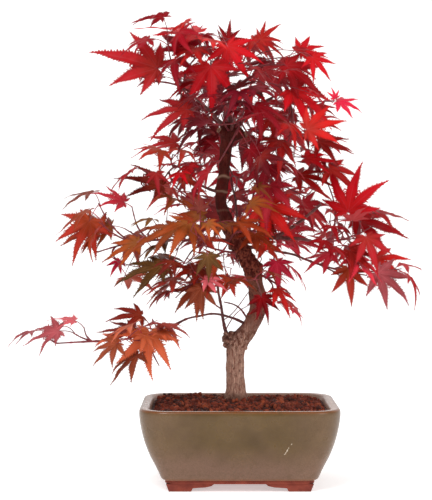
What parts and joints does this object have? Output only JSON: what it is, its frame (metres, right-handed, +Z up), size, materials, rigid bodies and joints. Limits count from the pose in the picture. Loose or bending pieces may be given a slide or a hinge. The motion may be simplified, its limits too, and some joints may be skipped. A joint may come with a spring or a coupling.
{
  "type": "japanese maple bonsai",
  "caption": "Miniature Japanese maple in autumn red: a leaning trunk with boughs and open masses of palmate leaves, in a rectangular glazed pot on feet.",
  "frame": {"origin": "on the plane that the pot's feet stand on, under the centre of the whole plant's bounding box", "axes": "+Z up; -Y out of the pot's front long side, from which the tree is seen; +X to the right seen from there"},
  "size_m": [0.4187, 0.2647, 0.4644],
  "materials": {
    "bark": "rough pinkish-grey and tan bark, darker and redder high up",
    "bough_bark": "dark maroon-brown young bark",
    "leaf_crimson": "thin matt autumn leaves, crimson",
    "leaf_scarlet": "thin matt autumn leaves, scarlet",
    "leaf_maroon": "thin matt autumn leaves, dark maroon",
    "leaf_orange": "thin matt autumn leaves, orange-brown",
    "leaf_copper": "thin matt autumn leaves, copper",
    "glaze": "soft-sheen glaze, olive-taupe above and pinkish taupe below, with dark specks",
    "bare_clay": "matt unglazed terracotta",
    "soil": "loose red-brown granules"
  },
  "bodies": {
    "root": {"pot": "glaze", "pot_band": "bare_clay", "pot_foot_front_left": "bare_clay", "pot_foot_front_right": "bare_clay", "pot_foot_back_left": "bare_clay", "pot_foot_back_right": "bare_clay", "soil": "soil", "trunk": "bark", "low_left_bough": "bough_bark", "far_left_bough": "bough_bark", "knob_bough": "bough_bark", "left_bough": "bough_bark", "right_bough": "bough_bark", "right_cut_bough": "bough_bark", "right_low_bough": "bough_bark", "right_whip": "bough_bark", "inner_whip": "bough_bark", "crown_left_bough": "bough_bark", "crown_centre_bough": "bough_bark", "crown_right_bough": "bough_bark", "crown_back_bough": "bough_bark", "crown_front_bough": "bough_bark", "back_bough": "bough_bark", "left_upper_bough": "bough_bark", "far_left_leaves": "leaf_copper", "low_left_leaves": "leaf_copper", "knob_leaves": "leaf_scarlet", "left_leaves": "leaf_orange", "left_inner_leaves": "leaf_orange", "left_upper_leaves": "leaf_crimson", "crown_left_leaves": "leaf_crimson", "top_leaves": "leaf_crimson", "crown_right_leaves": "leaf_crimson", "right_inner_leaves": "leaf_crimson", "right_leaves": "leaf_scarlet", "right_low_leaves": "leaf_scarlet", "front_leaves": "leaf_orange", "low_centre_leaves": "leaf_maroon", "crown_front_leaves": "leaf_maroon", "inner_leaves": "leaf_maroon", "crown_back_leaves": "leaf_crimson", "back_leaves": "leaf_crimson"}
  },
  "joints": []
}
